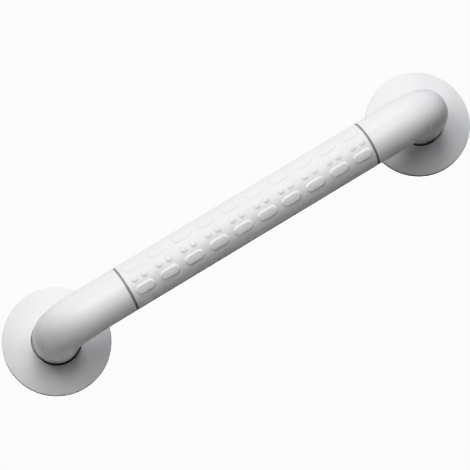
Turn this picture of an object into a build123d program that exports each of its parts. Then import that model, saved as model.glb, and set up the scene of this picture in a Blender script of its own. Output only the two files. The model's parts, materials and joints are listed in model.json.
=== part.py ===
"""A straight wall-mounted grab bar with a textured grip and a round cover at each end.

A steel tube runs through the grip and into both elbows, where a cast core plugs into it and
turns the load down a short post. The post is bolted to a wall plate from behind, and the wall
plate takes three countersunk screws that the round cover hides. To reach the screws, the cover
slides up its post. The origin is on the wall, midway between the posts: X runs along the bar,
Z points away from the wall. All sizes are in millimetres.
"""

import os
from math import radians, tan

from build123d import *

# Layout
post_spacing = 318.0  # between the centres of the two posts
bar_height = 58.0  # wall to the bar's centreline
bend_radius = 27.0  # centreline radius of each elbow
bar_radius = 17.5  # outside of the grip, the elbows and the posts
grip_length = 203.2
trim_width = 1.8

# Clearances
fit_gap = 0.1  # between pieces that plug together
thread_gap = 0.05  # between a screw and its tapped hole
edge_break = 0.25  # chamfer on turned and cut edges

# Tube inside the grip, and the cores that plug into its ends
tube_radius = 14.0
tube_wall = 1.2
tube_length = 252.0
spigot_length = 34.0
core_bore_radius = 7.0
core_bore_length = 38.0

# Shells around the tube
shell_bore_radius = tube_radius + fit_gap
shell_end_round = 0.35
trim_radius = bar_radius - 0.15

# Grip: a thin skin on ribs, with rows of raised pads and dots on its front and back
grip_skin = 2.4
grip_rib_count = 8
grip_rib_width = 2.4
relief_columns = 10
relief_pitch = 20.4
relief_height = 0.8
relief_turn = -3.6  # degrees the sleeve sits turned on the tube
relief_shift = 0.8  # the columns sit this far along the bar from an even spread
relief_root = 1.2  # how deep a pad or dot is sunk into the skin before it joins it
pad_length = 14.4  # at the bar's surface
pad_width = 7.3
pad_corner = 3.2
pad_taper = 25.0  # degrees
pad_round = 0.5
pad_row_angle = 31.0  # degrees from the row of dots to each row of pads
dot_radius = 2.9
dot_spacing = 8.0
face_angles = (0.0, 180.0)  # the relief faces away from the wall, and towards it

# Wall plate, with a boss that the post fits over
plate_radius = 35.0
plate_thickness = 3.0
boss_radius = shell_bore_radius - 0.2
boss_height = 6.0
boss_chamfer = 0.8
bolt_recess_radius = 9.5
bolt_web = 2.8  # metal left between the bolt's recess and the boss's top
screw_circle_radius = 27.0
screw_count = 3
screw_hole_radius = 2.75
screw_sink_radius = 4.8

# Gasket under the wall plate
gasket_thickness = 1.0
gasket_radius = 34.0
gasket_inner_radius = 19.0
gasket_hole_radius = 3.5

# Button-head bolt and split washer that hold the post to the wall plate
bolt_radius = 4.0
bolt_hole_radius = 4.25
bolt_length = 22.0
bolt_thread_depth = 20.0
bolt_head_radius = 7.0
bolt_head_height = 4.2
bolt_head_round = 2.4
bolt_socket_radius = 2.9
bolt_socket_depth = 2.4
washer_radius = 7.3
washer_thickness = 2.0
washer_slit = 1.4

# Set screw that locks the tube to the core, on the side that faces the wall
set_screw_radius = 3.0
set_screw_length = 6.0
set_screw_x = 114.0
set_screw_socket_radius = 1.7
set_screw_socket_depth = 3.0
set_screw_top = 14.6  # its outer end, from the bar's centreline
set_screw_hole_gap = 0.4  # wider hole in the shell for the key

# Round cover: a ball-shaped dome on a short skirt, with a collar inside its hole
cover_radius = 40.3
cover_wall = 2.0
cover_lift = 0.3  # rim above the wall
cover_crown_height = 13.9  # top of the dome if it had no hole
cover_ball_radius = 100.0
cover_rim_round = 1.5
cover_hole_radius = 18.7
cover_hole_round = 0.6
cover_collar_wall = 2.0
cover_collar_foot = 6.8  # height of the collar's lower end
cover_rib_count = 6
cover_rib_width = 7.0
cover_rib_foot = 0.8
cover_rib_top = 4.2
cover_rib_gap = 0.3  # between a rib and the plate's edge

# Worked out from the sizes above
post_x = post_spacing / 2
elbow_start_x = grip_length / 2 + trim_width
plate_top = gasket_thickness + plate_thickness
boss_top = plate_top + boss_height
tube_bore_radius = tube_radius - tube_wall
cover_ball_height = cover_crown_height - cover_ball_radius


def on_radius(edge, radius):
    """True for an edge on a circle of that radius."""
    return edge.geom_type == GeomType.CIRCLE and abs(edge.radius - radius) < 0.01


def save(piece, name):
    """Labels a finished piece and writes it as one STEP file."""
    piece.part.label = name
    export_step(piece.part, f"parts/{name}.step")
    print(name, [round(s.volume) for s in piece.part.solids()], piece.part.is_valid)


def elbow_line(side, start_x, end_z):
    """Centreline from the bar at start_x, round the bend and down the post to end_z."""
    with BuildLine(Plane.XZ) as line:
        Line((side * start_x, bar_height), (side * (post_x - bend_radius), bar_height))
        RadiusArc(
            (side * (post_x - bend_radius), bar_height),
            (side * post_x, bar_height - bend_radius),
            side * bend_radius,
        )
        Line((side * post_x, bar_height - bend_radius), (side * post_x, end_z))
    return line.line


def across_bar(x, side=1):
    """Plane square to the bar at x, facing along the bar towards that side's end."""
    return Plane((x, 0, bar_height), x_dir=(0, side, 0), z_dir=(side, 0, 0))


def set_screw_plane(side):
    """Plane at the set screw on the bar's centreline, facing the wall."""
    return Plane((side * set_screw_x, 0, bar_height), x_dir=(1, 0, 0), z_dir=(0, 0, -1))


def raised_pad():
    """One pad of the grip, centred on the Z axis and standing on a bar along X."""
    spread = relief_root * tan(radians(pad_taper))
    with BuildPart() as pad:
        with BuildSketch(Plane.XY.offset(bar_radius - relief_root)):
            RectangleRounded(
                pad_length + 2 * spread, pad_width + 2 * spread, pad_corner + spread
            )
        extrude(amount=relief_root + 1.5 * relief_height, taper=pad_taper)
        with BuildSketch(Plane.YZ):
            Circle(bar_radius + relief_height)
        extrude(amount=pad_length, both=True, mode=Mode.INTERSECT)
        fillet(pad.faces().sort_by(Axis.Z)[-1].edges(), pad_round)
    return pad.part


def raised_dot():
    """One dot of the grip: a low round dome on the Z axis, standing on a bar along X."""
    ball = (dot_radius**2 + relief_height**2) / (2 * relief_height)
    crown = bar_radius + relief_height
    with BuildPart() as dot:
        with BuildSketch(Plane.XZ):
            with BuildLine():
                foot = (dot_radius, crown - ball + (ball**2 - dot_radius**2) ** 0.5)
                root = (0, bar_radius - relief_root)
                RadiusArc((0, crown), foot, ball)
                Polyline(foot, (dot_radius, root[1]), root, (0, crown))
            make_face()
        revolve(axis=Axis.Z)
    return dot.part


def grip_sleeve():
    """White sleeve around the tube, between the two trim rings."""
    middle = (relief_columns - 1) / 2
    columns = [
        relief_shift + relief_pitch * (i - middle) for i in range(relief_columns)
    ]
    with BuildPart() as sleeve:
        with BuildSketch(across_bar(-grip_length / 2)):
            Circle(bar_radius)
            Circle(bar_radius - grip_skin, mode=Mode.SUBTRACT)
            rib_height = bar_radius - grip_skin - shell_bore_radius + 0.5
            with PolarLocations(shell_bore_radius + rib_height / 2, grip_rib_count):
                Rectangle(rib_height, grip_rib_width)
        extrude(amount=grip_length)
        rims = sleeve.edges().filter_by(lambda e: on_radius(e, bar_radius))
        fillet(rims, shell_end_round)
        pads = [
            Location((x, 0, bar_height), (relief_turn + face + row, 0, 0))
            for x in columns
            for face in face_angles
            for row in (-pad_row_angle, pad_row_angle)
        ]
        dots = [
            Location((x + offset, 0, bar_height), (relief_turn + face, 0, 0))
            for x in columns
            for face in face_angles
            for offset in (-dot_spacing / 2, dot_spacing / 2)
        ]
        with Locations(*pads):
            add(raised_pad())
        with Locations(*dots):
            add(raised_dot())
    save(sleeve, "grip_sleeve")


def inner_tube():
    """Steel tube through the grip and both elbows."""
    with BuildPart() as tube:
        with BuildSketch(across_bar(-tube_length / 2)):
            Circle(tube_radius)
            Circle(tube_bore_radius, mode=Mode.SUBTRACT)
        extrude(amount=tube_length)
        for side in (-1, 1):
            with BuildSketch(set_screw_plane(side)):
                Circle(set_screw_radius + fit_gap)
            extrude(amount=2 * tube_radius, mode=Mode.SUBTRACT)
    save(tube, "inner_tube")


def trim_ring(side, end):
    """Grey ring between the grip and an elbow."""
    with BuildPart() as ring:
        with BuildSketch(across_bar(side * grip_length / 2, side)):
            Circle(trim_radius)
            Circle(shell_bore_radius, mode=Mode.SUBTRACT)
        extrude(amount=trim_width)
        rims = ring.edges().filter_by(lambda e: on_radius(e, trim_radius))
        chamfer(rims, edge_break)
    save(ring, f"{end}_trim_ring")


def elbow_shell(side, end):
    """White shell of one elbow and its post."""
    path = elbow_line(side, elbow_start_x, plate_top + fit_gap)
    with BuildPart() as shell:
        with BuildSketch(across_bar(side * elbow_start_x, side)):
            Circle(bar_radius)
            Circle(shell_bore_radius, mode=Mode.SUBTRACT)
        sweep(path=path)
        rims = shell.edges().filter_by(lambda e: on_radius(e, bar_radius))
        fillet(rims.sort_by(lambda e: abs(e.center().X))[0], shell_end_round)
        with BuildSketch(set_screw_plane(side)):
            Circle(set_screw_radius + set_screw_hole_gap)
        extrude(amount=2 * bar_radius, mode=Mode.SUBTRACT)
    save(shell, f"{end}_elbow_shell")


def elbow_core(side, end):
    """Cast core of one elbow, with a spigot in the tube and a tapped foot on the plate."""
    core_start_x = tube_length / 2 + fit_gap
    spigot_start_x = core_start_x - spigot_length
    with BuildPart() as core:
        with BuildSketch(across_bar(side * core_start_x, side)):
            Circle(tube_radius)
        sweep(path=elbow_line(side, core_start_x, boss_top))
        with BuildSketch(across_bar(side * spigot_start_x, side)):
            Circle(tube_bore_radius - fit_gap)
        extrude(amount=spigot_length)
        with BuildSketch(across_bar(side * spigot_start_x, side)):
            Circle(core_bore_radius)
        extrude(amount=core_bore_length, mode=Mode.SUBTRACT)
        with BuildSketch(set_screw_plane(side)):
            Circle(set_screw_radius)
        extrude(amount=tube_radius, mode=Mode.SUBTRACT)
        with BuildSketch(Plane((side * post_x, 0, boss_top))):
            Circle(bolt_radius)
        extrude(amount=bolt_thread_depth, mode=Mode.SUBTRACT)
    save(core, f"{end}_elbow_core")


def set_screw(side, end):
    """Headless screw with a hexagon socket, flush below the elbow's surface."""
    plane = set_screw_plane(side).offset(set_screw_top)
    with BuildPart() as screw:
        with BuildSketch(plane):
            Circle(set_screw_radius - thread_gap)
        extrude(amount=-set_screw_length)
        chamfer(screw.edges().filter_by(GeomType.CIRCLE), 2 * edge_break)
        with BuildSketch(plane):
            RegularPolygon(set_screw_socket_radius, 6)
        extrude(amount=-set_screw_socket_depth, mode=Mode.SUBTRACT)
    save(screw, f"{end}_set_screw")


def wall_plate(side, end):
    """Steel plate with three countersunk holes and a boss for the post."""
    base = Plane((side * post_x, 0, gasket_thickness))
    with BuildPart() as plate:
        with BuildSketch(base):
            Circle(plate_radius)
        extrude(amount=plate_thickness)
        with BuildSketch(base):
            Circle(boss_radius)
        extrude(amount=plate_thickness + boss_height)
        chamfer(
            plate.edges().filter_by(GeomType.CIRCLE).sort_by(Axis.Z)[-1], boss_chamfer
        )
        with BuildSketch(base):
            Circle(bolt_recess_radius)
        extrude(amount=plate_thickness + boss_height - bolt_web, mode=Mode.SUBTRACT)
        with BuildSketch(base):
            Circle(bolt_hole_radius)
        extrude(amount=plate_thickness + boss_height, mode=Mode.SUBTRACT)
        with Locations(base.offset(plate_thickness)):
            with PolarLocations(screw_circle_radius, screw_count, start_angle=90):
                CounterSinkHole(
                    screw_hole_radius,
                    screw_sink_radius,
                    plate_thickness,
                    counter_sink_angle=90,
                )
        rims = plate.edges().filter_by(lambda e: on_radius(e, plate_radius))
        chamfer(rims, edge_break)
    save(plate, f"{end}_wall_plate")


def wall_gasket(side, end):
    """Thin rubber ring between the plate and the wall."""
    with BuildPart() as gasket:
        with BuildSketch(Plane((side * post_x, 0, 0))):
            Circle(gasket_radius)
            Circle(gasket_inner_radius, mode=Mode.SUBTRACT)
            with PolarLocations(screw_circle_radius, screw_count, start_angle=90):
                Circle(gasket_hole_radius, mode=Mode.SUBTRACT)
        extrude(amount=gasket_thickness)
    save(gasket, f"{end}_wall_gasket")


def post_bolt(side, end):
    """Button-head bolt that pulls the post onto the plate, with its head in the recess."""
    head_top = boss_top - bolt_web - washer_thickness
    head_plane = Plane((side * post_x, 0, head_top))
    with BuildPart() as bolt:
        with BuildSketch(head_plane):
            Circle(bolt_head_radius)
        extrude(amount=-bolt_head_height)
        fillet(
            bolt.edges().filter_by(GeomType.CIRCLE).sort_by(Axis.Z)[0], bolt_head_round
        )
        with BuildSketch(head_plane):
            Circle(bolt_radius - thread_gap)
        extrude(amount=bolt_length)
        chamfer(
            bolt.edges().filter_by(GeomType.CIRCLE).sort_by(Axis.Z)[-1], 3 * edge_break
        )
        with BuildSketch(head_plane.offset(-bolt_head_height)):
            RegularPolygon(bolt_socket_radius, 6)
        extrude(amount=bolt_socket_depth, mode=Mode.SUBTRACT)
    save(bolt, f"{end}_post_bolt")


def lock_washer(side, end):
    """Split spring washer under the bolt's head."""
    top = boss_top - bolt_web
    with BuildPart() as washer:
        with BuildSketch(Plane((side * post_x, 0, top))):
            Circle(washer_radius)
            Circle(bolt_hole_radius, mode=Mode.SUBTRACT)
            with Locations((side * washer_radius, 0)):
                Rectangle(2 * washer_radius, washer_slit, mode=Mode.SUBTRACT)
        extrude(amount=-washer_thickness)
    save(washer, f"{end}_lock_washer")


def cover(side, end):
    """Domed cover over the wall plate, with a loose hole around the post."""
    post_section = Plane((side * post_x, 0, 0), x_dir=(1, 0, 0), z_dir=(0, -1, 0))
    rib_start = plate_radius + cover_rib_gap
    rib_length = cover_radius - cover_wall + 0.4 - rib_start
    with BuildPart() as dome:
        with BuildSketch(post_section):
            for inset, mode in ((0, Mode.ADD), (cover_wall, Mode.SUBTRACT)):
                radius = cover_radius - inset
                ball = cover_ball_radius - inset
                with BuildLine():
                    rim = (radius, cover_ball_height + (ball**2 - radius**2) ** 0.5)
                    crown = (0, cover_crown_height - inset)
                    RadiusArc(crown, rim, ball)
                    Polyline(crown, (0, cover_lift), (radius, cover_lift), rim)
                make_face(mode=mode)
            with Locations((cover_hole_radius, cover_collar_foot)):
                Rectangle(
                    cover_collar_wall,
                    cover_crown_height - cover_wall - cover_collar_foot - 1,
                    align=(Align.MIN, Align.MIN),
                )
            with Locations((0, 0)):
                Rectangle(
                    cover_hole_radius,
                    2 * cover_crown_height,
                    align=(Align.MIN, Align.MIN),
                    mode=Mode.SUBTRACT,
                )
        revolve(axis=Axis((side * post_x, 0, 0), (0, 0, 1)))
        for radius, rounding in (
            (cover_radius, cover_rim_round),
            (cover_hole_radius, cover_hole_round),
        ):
            rims = dome.edges().filter_by(lambda e: on_radius(e, radius))
            fillet(rims.sort_by(Axis.Z)[-1], rounding)
        with BuildSketch(Plane((side * post_x, 0, cover_rib_foot))):
            with PolarLocations(rib_start + rib_length / 2, cover_rib_count):
                Rectangle(rib_length, cover_rib_width)
            Circle(rib_start, mode=Mode.SUBTRACT)
        extrude(amount=cover_rib_top - cover_rib_foot)
    save(dome, f"{end}_cover")


os.makedirs("parts", exist_ok=True)
grip_sleeve()
inner_tube()
for side, end in ((-1, "left"), (1, "right")):
    trim_ring(side, end)
    elbow_shell(side, end)
    elbow_core(side, end)
    set_screw(side, end)
    wall_plate(side, end)
    wall_gasket(side, end)
    post_bolt(side, end)
    lock_washer(side, end)
    cover(side, end)
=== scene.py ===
"""Looks for the wall grab bar: materials, a finely moulded grip, plain studio light and camera."""

import json
import math

import bpy
from mathutils import Euler, Matrix, Vector


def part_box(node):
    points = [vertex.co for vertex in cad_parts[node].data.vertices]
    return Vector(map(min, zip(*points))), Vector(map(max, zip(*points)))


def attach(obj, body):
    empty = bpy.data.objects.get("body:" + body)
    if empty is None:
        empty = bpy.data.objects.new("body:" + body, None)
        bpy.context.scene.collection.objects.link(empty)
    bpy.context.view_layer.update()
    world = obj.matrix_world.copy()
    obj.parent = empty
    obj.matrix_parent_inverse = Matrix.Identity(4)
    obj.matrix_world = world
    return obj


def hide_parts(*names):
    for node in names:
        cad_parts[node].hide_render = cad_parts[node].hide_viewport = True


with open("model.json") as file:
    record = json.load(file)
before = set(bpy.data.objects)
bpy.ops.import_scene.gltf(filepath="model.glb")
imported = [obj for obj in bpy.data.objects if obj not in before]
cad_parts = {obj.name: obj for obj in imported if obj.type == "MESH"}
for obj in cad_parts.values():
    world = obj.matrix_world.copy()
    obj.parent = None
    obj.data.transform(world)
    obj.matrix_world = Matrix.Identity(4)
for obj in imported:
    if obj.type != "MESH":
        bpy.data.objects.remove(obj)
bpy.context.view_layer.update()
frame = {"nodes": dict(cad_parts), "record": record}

MM = 0.001

# Grip relief, in millimetres and degrees. The layout follows the CAD grip.
BAR_HEIGHT = 58.0
BAR_RADIUS = 17.5
GRIP_BORE = 14.1
COLUMNS = 10
COLUMN_PITCH = 20.4
GRIP_TURN = -3.6
GRIP_SHIFT = 0.8
PAD_HEIGHT = 0.78
PAD_HALF_LENGTH = 7.1
PAD_HALF_WIDTH = 3.45
PAD_CORNER = 3.2
PAD_SHOULDER = 0.6
PAD_CROWN = 0.06  # share of its height that a pad loses at its long edges
PAD_ROWS = (-31.0, 31.0)
DOT_HEIGHT = 0.72
DOT_RADIUS = 3.4
DOT_OFFSETS = (-4.0, 4.0)
PARTING_RIDGE = 0.035
PARTING_WIDTH = 0.35
END_ROUND = 0.35

# Mesh of the grip. Each span of angles has a start, an end and a largest step, and the spans
# go half way round. The steps and the smooth end strips along the bar are in millimetres.
ANGLE_SPANS = ((-44, 44, 1.15), (44, 88, 5.5), (88, 92, 1.0), (92, 136, 5.5))
END_ROUND_ANGLES = (0, 30, 60, 90)
STATION_STEP = 0.42
END_STRIP = 0.2

# Colours: the whites run from clean to shade in soft patches
CLEAN_WHITE = (0.835, 0.838, 0.85)
SHELL_SHADE = (0.805, 0.807, 0.815)
GRIP_SHADE = (0.795, 0.797, 0.805)
WARM_LIGHT = (1.0, 0.985, 0.97)
COOL_LIGHT = (0.97, 0.985, 1.0)

# Stage, in metres
ROOM_HALF = 4.0
FLOOR_Z = -0.0002
BOUNCE_Z = -0.0005
FLAG_HALF = 0.075
FLAG_PLACE = (0.175, -0.11, -0.0003)
FLOOR_GLOW = 2.4
AMBIENT = 0.145

# Camera: turns in degrees about x, y and z, from looking straight down at the wall, then the
# point it looks at and its distance from that point. Lens and sensor are in millimetres.
CAMERA_TURNS = (11.098, -4.78, -32.148)
AIM = Vector((-8.807, -3.271, 25.0)) * MM
CAMERA_DISTANCE = 1.55
LENS = 161.983
SENSOR_WIDTH = 36.0


# ---------------------------------------------------------------- node helpers
def node(tree, kind, inputs=None, **settings):
    """Adds a shader node. Inputs take either a value or another node's output."""
    made = tree.nodes.new(kind)
    for name, value in settings.items():
        setattr(made, name, value)
    for name, value in (inputs or {}).items():
        if isinstance(value, bpy.types.NodeSocket):
            tree.links.new(value, made.inputs[name])
        else:
            made.inputs[name].default_value = value
    return made


def noise(tree, vector, per_metre, detail=2.0, roughness=0.5):
    """Noise whose features are about 1 / per_metre of the vector's length unit."""
    return node(
        tree,
        "ShaderNodeTexNoise",
        {"Vector": vector, "Scale": per_metre, "Detail": detail, "Roughness": roughness},
    ).outputs["Fac"]


def stretched(tree, vector, scale):
    """Coordinates scaled along each axis, for brushed, turned and wiped marks."""
    return node(
        tree, "ShaderNodeMapping", {"Vector": vector, "Scale": scale}
    ).outputs["Vector"]


def remap(tree, value, low, high, start=0.3, end=0.7):
    """Maps start..end of a value to low..high, clamped."""
    return node(
        tree,
        "ShaderNodeMapRange",
        {
            "Value": value,
            "From Min": start,
            "From Max": end,
            "To Min": low,
            "To Max": high,
        },
    ).outputs["Result"]


def blend_colours(tree, factor, first, second):
    """Colour between first and second by a factor from 0 to 1."""
    made = node(tree, "ShaderNodeMix", {"Factor": factor}, data_type="RGBA")
    made.inputs["A"].default_value = (*first, 1)
    made.inputs["B"].default_value = (*second, 1)
    return made.outputs["Result"]


def bump(tree, height, depth, strength=1.0, normal=None):
    """Bump of a given depth in metres, on top of another bump if one is given."""
    inputs = {"Height": height, "Distance": depth, "Strength": strength}
    if normal is not None:
        inputs["Normal"] = normal
    return node(tree, "ShaderNodeBump", inputs).outputs["Normal"]


def new_material(name):
    """A material with its node tree and shader."""
    made = bpy.data.materials.new(name)
    made.use_nodes = True
    tree = made.node_tree
    return made, tree, tree.nodes["Principled BSDF"]


def object_coords(tree):
    """Coordinates that stay with the object, in metres."""
    return node(tree, "ShaderNodeTexCoord").outputs["Object"]


# ---------------------------------------------------------------- materials
def white_plastic(name, shade, rough, grain_depth):
    """Glossy white moulded plastic: slight flow marks, handling smears and orange peel."""
    made, tree, shader = new_material(name)
    coords = object_coords(tree)
    flow = noise(tree, coords, per_metre=22, detail=3.0)
    patches = remap(tree, flow, 0.0, 1.0, start=0.35, end=0.7)
    base = blend_colours(tree, patches, CLEAN_WHITE, shade)
    tree.links.new(base, shader.inputs["Base Color"])
    wiped = stretched(tree, coords, (1.0, 2.6, 1.7))
    smear = noise(tree, wiped, per_metre=70, detail=4.0, roughness=0.6)
    tree.links.new(remap(tree, smear, *rough), shader.inputs["Roughness"])
    peel = bump(tree, noise(tree, coords, per_metre=420), depth=0.02 * MM)
    grain = noise(tree, coords, per_metre=1900, detail=1.0)
    surface = bump(tree, grain, depth=grain_depth, normal=peel)
    tree.links.new(surface, shader.inputs["Normal"])
    shader.inputs["IOR"].default_value = 1.52
    shader.inputs["Subsurface Weight"].default_value = 0.08
    shader.inputs["Subsurface Radius"].default_value = (1.0, 0.9, 0.8)
    shader.inputs["Subsurface Scale"].default_value = 0.8 * MM
    return made


def grey_trim(name):
    """Matte grey ring with fine turning lines around the bar."""
    made, tree, shader = new_material(name)
    coords = object_coords(tree)
    speck = noise(tree, coords, per_metre=900, detail=3.0)
    base = blend_colours(tree, speck, (0.25, 0.25, 0.24), (0.31, 0.31, 0.295))
    tree.links.new(base, shader.inputs["Base Color"])
    tree.links.new(remap(tree, speck, 0.42, 0.6), shader.inputs["Roughness"])
    turned = stretched(tree, coords, (9000, 60, 60))
    lines = noise(tree, turned, per_metre=1.0, detail=1.0)
    surface = bump(tree, lines, depth=0.02 * MM, strength=0.6)
    tree.links.new(surface, shader.inputs["Normal"])
    return made


def metal(name, bright, dull, rough, marks_per_metre):
    """Bare metal whose fine marks run along the axes that have the fewest of them."""
    made, tree, shader = new_material(name)
    coords = object_coords(tree)
    patches = remap(tree, noise(tree, coords, per_metre=45, detail=3.0), 0.0, 1.0)
    base = blend_colours(tree, patches, bright, dull)
    tree.links.new(base, shader.inputs["Base Color"])
    brushed = stretched(tree, coords, marks_per_metre)
    marks = noise(tree, brushed, per_metre=1.0, roughness=0.6)
    tree.links.new(remap(tree, marks, *rough), shader.inputs["Roughness"])
    surface = bump(tree, marks, depth=0.01 * MM, strength=0.7)
    tree.links.new(surface, shader.inputs["Normal"])
    shader.inputs["Metallic"].default_value = 1.0
    return made


def cast_metal(name):
    """Die-cast aluminium: dull, with a grainy skin."""
    made, tree, shader = new_material(name)
    grain = noise(tree, object_coords(tree), per_metre=1400, detail=4.0, roughness=0.65)
    base = blend_colours(tree, grain, (0.5, 0.5, 0.51), (0.66, 0.66, 0.67))
    tree.links.new(base, shader.inputs["Base Color"])
    tree.links.new(remap(tree, grain, 0.35, 0.55), shader.inputs["Roughness"])
    surface = bump(tree, grain, depth=0.06 * MM, strength=0.8)
    tree.links.new(surface, shader.inputs["Normal"])
    shader.inputs["Metallic"].default_value = 1.0
    return made


def black_rubber(name):
    """Matte rubber with a fine grain and a little dust."""
    made, tree, shader = new_material(name)
    coords = object_coords(tree)
    dust = noise(tree, coords, per_metre=260, detail=4.0, roughness=0.6)
    dusty = remap(tree, dust, 0.0, 1.0, start=0.5, end=0.8)
    base = blend_colours(tree, dusty, (0.018, 0.018, 0.019), (0.06, 0.058, 0.055))
    tree.links.new(base, shader.inputs["Base Color"])
    tree.links.new(remap(tree, dust, 0.6, 0.85), shader.inputs["Roughness"])
    grain = noise(tree, coords, per_metre=2500)
    surface = bump(tree, grain, depth=0.04 * MM, strength=0.7)
    tree.links.new(surface, shader.inputs["Normal"])
    return made


materials = {
    "grip_white": white_plastic(
        "grip_white", GRIP_SHADE, rough=(0.32, 0.44), grain_depth=0.004 * MM
    ),
    "shell_white": white_plastic(
        "shell_white", SHELL_SHADE, rough=(0.26, 0.38), grain_depth=0.001 * MM
    ),
    "cover_white": white_plastic(
        "cover_white", SHELL_SHADE, rough=(0.28, 0.4), grain_depth=0.001 * MM
    ),
    "trim_grey": grey_trim("trim_grey"),
    "tube_steel": metal(
        "tube_steel",
        bright=(0.62, 0.62, 0.61),
        dull=(0.52, 0.52, 0.52),
        rough=(0.2, 0.38),
        marks_per_metre=(30, 4000, 4000),
    ),
    "core_aluminium": cast_metal("core_aluminium"),
    "plate_steel": metal(
        "plate_steel",
        bright=(0.68, 0.68, 0.67),
        dull=(0.56, 0.56, 0.56),
        rough=(0.5, 0.68),
        marks_per_metre=(3000, 60, 3000),
    ),
    "fixing_steel": metal(
        "fixing_steel",
        bright=(0.55, 0.55, 0.56),
        dull=(0.42, 0.42, 0.43),
        rough=(0.22, 0.42),
        marks_per_metre=(800, 800, 5000),
    ),
    "gasket_rubber": black_rubber("gasket_rubber"),
}
for entry in frame["record"]["subparts"]:
    piece = frame["nodes"][entry["node"]]
    piece.data.materials.clear()
    piece.data.materials.append(materials[entry["material_slot"]])


# ---------------------------------------------------------------- grip
def smooth(low, high, value):
    """Smooth step from 0 at low to 1 at high."""
    t = min(1.0, max(0.0, (value - low) / (high - low)))
    return t * t * (3 - 2 * t)


def nearest(value, centres):
    """Offset of a value from the nearest of some centres."""
    return min((value - c for c in centres), key=abs)


def relief(x, angle):
    """Height of the grip's surface over the plain bar, in millimetres."""
    side = math.radians(90.0 - abs((angle + 90.0) % 180.0 - 90.0)) * BAR_RADIUS
    face = (angle - GRIP_TURN + 90.0) % 180.0 - 90.0
    last_column = (COLUMNS - 1) / 2
    column = round((x - GRIP_SHIFT) / COLUMN_PITCH - 0.5) + 0.5
    column = max(-last_column, min(last_column, column))
    dx = x - GRIP_SHIFT - column * COLUMN_PITCH
    across = math.radians(nearest(face, PAD_ROWS)) * BAR_RADIUS
    qx = abs(dx) - (PAD_HALF_LENGTH - PAD_CORNER)
    qy = abs(across) - (PAD_HALF_WIDTH - PAD_CORNER)
    outside = math.hypot(max(qx, 0), max(qy, 0)) + min(max(qx, qy), 0) - PAD_CORNER
    pad = 1 - smooth(-PAD_SHOULDER, PAD_SHOULDER, outside)
    pad *= PAD_HEIGHT * (1 - PAD_CROWN * (across / PAD_HALF_WIDTH) ** 2)
    reach = math.hypot(nearest(dx, DOT_OFFSETS), math.radians(face) * BAR_RADIUS)
    dot = max(0.0, 1 - (reach / DOT_RADIUS) ** 2)
    dot *= DOT_HEIGHT * dot * (3 - 2 * dot)
    ridge = PARTING_RIDGE * (1 - smooth(0.0, PARTING_WIDTH, side))
    return max(pad, dot) + ridge


def spaced(start, end, step):
    """Even values from start up to but not including end, no further apart than step."""
    count = max(1, math.ceil((end - start) / step))
    return [start + (end - start) * i / count for i in range(count)]


def grip_mesh():
    """Closed sleeve whose outside carries the relief, with finer rows where it rises."""
    angles = []
    for start, end, step in ANGLE_SPANS:
        angles += spaced(start, end, step)
    angles += [a + 180 for a in angles]
    low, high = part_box("grip_sleeve")
    half = (high.x - low.x) / 2 / MM
    turns = [math.radians(a) for a in END_ROUND_ANGLES]
    rim = [half - END_ROUND * (1 - math.cos(turn)) for turn in turns]
    drop = [END_ROUND * (1 - math.sin(turn)) for turn in turns]
    inner = rim[-1] - END_STRIP
    stations = [(-x, d, False) for x, d in zip(rim, drop)]
    stations += [(x, 0.0, True) for x in spaced(-inner, inner, STATION_STEP) + [inner]]
    stations += [(x, d, False) for x, d in zip(reversed(rim), reversed(drop))]
    verts, faces = [], []
    count = len(angles)

    def add_ring(x, radii):
        for a, radius in zip(angles, radii):
            turn = math.radians(a)
            y, z = -radius * math.sin(turn), BAR_HEIGHT + radius * math.cos(turn)
            verts.append((x * MM, y * MM, z * MM))

    add_ring(-half, [GRIP_BORE] * count)
    for x, fall, raised in stations:
        add_ring(x, [BAR_RADIUS - fall + (relief(x, a) if raised else 0) for a in angles])
    add_ring(half, [GRIP_BORE] * count)
    rings = len(verts) // count
    for ring in range(rings):
        here, there = ring * count, (ring + 1) % rings * count
        for i in range(count):
            j = (i + 1) % count
            faces.append((here + i, here + j, there + j, there + i))
    mesh = bpy.data.meshes.new("moulded_grip")
    mesh.from_pydata(verts, [], faces)
    mesh.validate()
    mesh.polygons.foreach_set("use_smooth", [True] * len(mesh.polygons))
    return mesh


grip = bpy.data.objects.new("moulded_grip", grip_mesh())
bpy.context.scene.collection.objects.link(grip)
grip.data.materials.append(materials["grip_white"])
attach(grip, "bar")
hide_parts("grip_sleeve")


# ---------------------------------------------------------------- stage
scene = bpy.context.scene
scene.view_settings.view_transform = "Khronos PBR Neutral"


def staged(name, corners, faces, material):
    """Mesh that dresses the studio and takes no part in the object."""
    mesh = bpy.data.meshes.new(name)
    mesh.from_pydata(corners, [], faces)
    mesh.materials.append(material)
    made = bpy.data.objects.new(name, mesh)
    scene.collection.objects.link(made)
    return made


def square(half, z=0.0):
    """Corners of a level square, centred over the origin."""
    return [(-half, -half, z), (half, -half, z), (half, half, z), (-half, half, z)]


def matte(name, shade):
    """Plain grey without any shine."""
    made, _, shader = new_material(name)
    shader.inputs["Base Color"].default_value = (shade, shade, shade, 1)
    shader.inputs["Roughness"].default_value = 1.0
    shader.inputs["Specular IOR Level"].default_value = 0.0
    return made


def white_glow(name):
    """Evenly white to the camera from in front, and clear from behind."""
    made = matte(name, 0.2)
    tree = made.node_tree
    shader = tree.nodes["Principled BSDF"]
    shader.inputs["Emission Color"].default_value = (1, 1, 1, 1)
    shader.inputs["Emission Strength"].default_value = FLOOR_GLOW
    behind = node(tree, "ShaderNodeNewGeometry").outputs["Backfacing"]
    clear = node(tree, "ShaderNodeBsdfTransparent").outputs["BSDF"]
    mix = node(tree, "ShaderNodeMixShader", {0: behind, 1: shader.outputs["BSDF"], 2: clear})
    tree.links.new(mix.outputs["Shader"], tree.nodes["Material Output"].inputs["Surface"])
    return made


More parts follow.
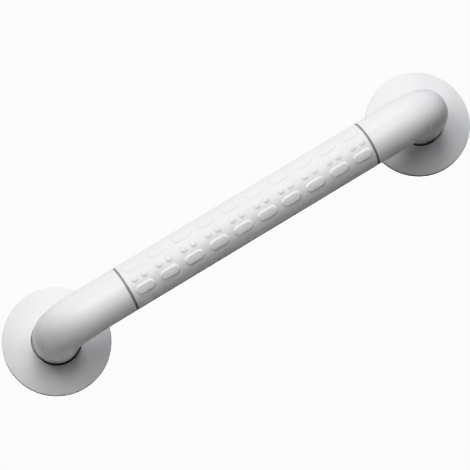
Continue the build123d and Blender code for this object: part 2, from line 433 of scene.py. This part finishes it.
# The floor and the backdrop that the camera sees are evenly white and light nothing.
# From below, the camera looks through the floor at the object's underside.
QUAD = [(0, 1, 2, 3)]
glow = white_glow("glow")
floor = staged("floor", square(ROOM_HALF), QUAD, glow)
floor.location.z = FLOOR_Z
room = square(ROOM_HALF) + square(ROOM_HALF, 2 * ROOM_HALF)
walls = [(i, i + 4, (i + 1) % 4 + 4, (i + 1) % 4) for i in range(4)]
ceiling = (7, 6, 5, 4)
backdrop = staged("backdrop", room, walls + [ceiling], glow)
for shown in (floor, backdrop):
    shown.visible_diffuse = False
    shown.visible_glossy = False
    shown.visible_shadow = False

# A second floor, unseen by the camera, throws light back up at the object. A dark card
# beside the right cover keeps that light off the cover's lower rim.
bounce = staged("bounce", square(ROOM_HALF), QUAD, matte("bounce", 0.8))
bounce.location.z = BOUNCE_Z
flag = staged("flag", square(FLAG_HALF), QUAD, matte("flag", 0.04))
flag.location = FLAG_PLACE
for hidden in (bounce, flag):
    hidden.visible_camera = False
    hidden.visible_glossy = False


# ---------------------------------------------------------------- light and camera
world = bpy.data.worlds.new("studio")
world.use_nodes = True
world.node_tree.nodes["Background"].inputs["Color"].default_value = (1, 1, 1, 1)
world.node_tree.nodes["Background"].inputs["Strength"].default_value = AMBIENT
scene.world = world

view = Euler([math.radians(a) for a in CAMERA_TURNS]).to_matrix()
right, up, back = view.transposed()


def soft_box(name, tilt, turn, distance, size, power, colour):
    """Square soft light, tilted from the view axis towards a direction in the picture."""
    tilt, turn = math.radians(tilt), math.radians(turn)
    sideways = math.cos(turn) * right + math.sin(turn) * up
    direction = math.cos(tilt) * back + math.sin(tilt) * sideways
    lamp = bpy.data.lights.new(name, "AREA")
    lamp.shape = "SQUARE"
    lamp.size = size
    lamp.energy = power
    lamp.color = colour
    made = bpy.data.objects.new(name, lamp)
    made.location = AIM + direction * distance
    made.rotation_euler = direction.to_track_quat("Z", "Y").to_euler()
    scene.collection.objects.link(made)


soft_box("key", tilt=30, turn=120, distance=0.7, size=0.35, power=2.8, colour=WARM_LIGHT)
soft_box("top", tilt=65, turn=90, distance=1.4, size=0.7, power=10.9, colour=COOL_LIGHT)
soft_box("accent", tilt=30, turn=60, distance=1.4, size=0.3, power=2.15, colour=COOL_LIGHT)

camera_data = bpy.data.cameras.new("camera")
camera_data.lens = LENS
camera_data.sensor_width = SENSOR_WIDTH
camera = bpy.data.objects.new("camera", camera_data)
camera.matrix_world = Matrix.Translation(AIM + back * CAMERA_DISTANCE) @ view.to_4x4()
scene.collection.objects.link(camera)
scene.camera = camera
